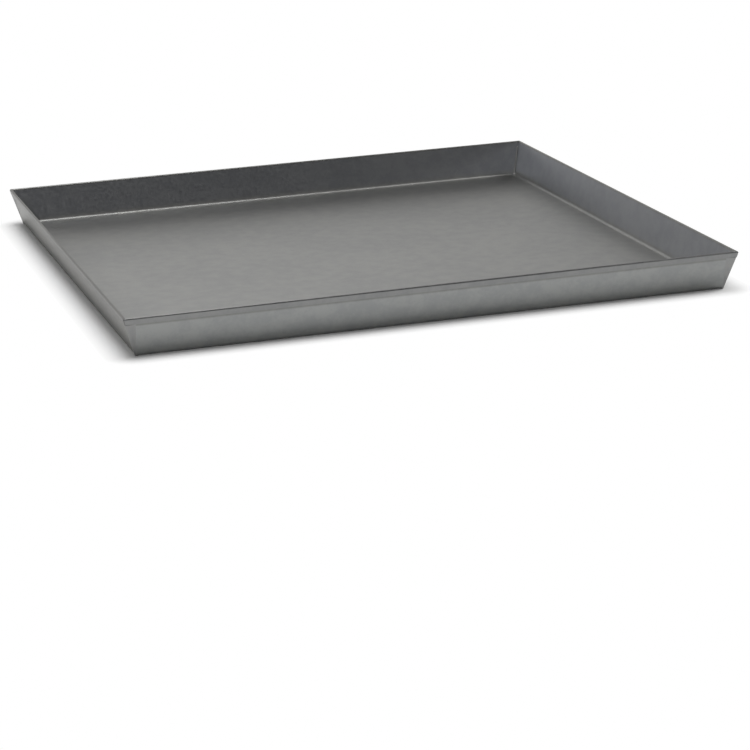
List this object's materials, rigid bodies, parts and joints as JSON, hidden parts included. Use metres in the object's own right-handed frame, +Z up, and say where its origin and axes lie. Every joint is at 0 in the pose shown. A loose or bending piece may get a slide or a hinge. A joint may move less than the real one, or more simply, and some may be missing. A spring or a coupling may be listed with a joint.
{
  "type": "baking pan",
  "caption": "Low square sheet-steel baking pan with a flat floor, outward-leaning walls, a folded hem along the rim and welded corners, for baking flat doughs and traybakes.",
  "frame": {"origin": "centre of the underside of the floor, on the surface that the pan stands on", "axes": "+Z up out of the pan, +X to the right and -Y to the front, each square to a wall"},
  "size_m": [0.4102, 0.4102, 0.0262],
  "materials": {
    "blued_steel": "satin blue-grey rolled sheet",
    "weld_steel": "dressed weld, slightly darker than the sheet"
  },
  "bodies": {
    "root": {"pan_sheet": "blued_steel", "corner_weld_front_left": "weld_steel", "corner_weld_front_right": "weld_steel", "corner_weld_back_left": "weld_steel", "corner_weld_back_right": "weld_steel"}
  },
  "joints": []
}
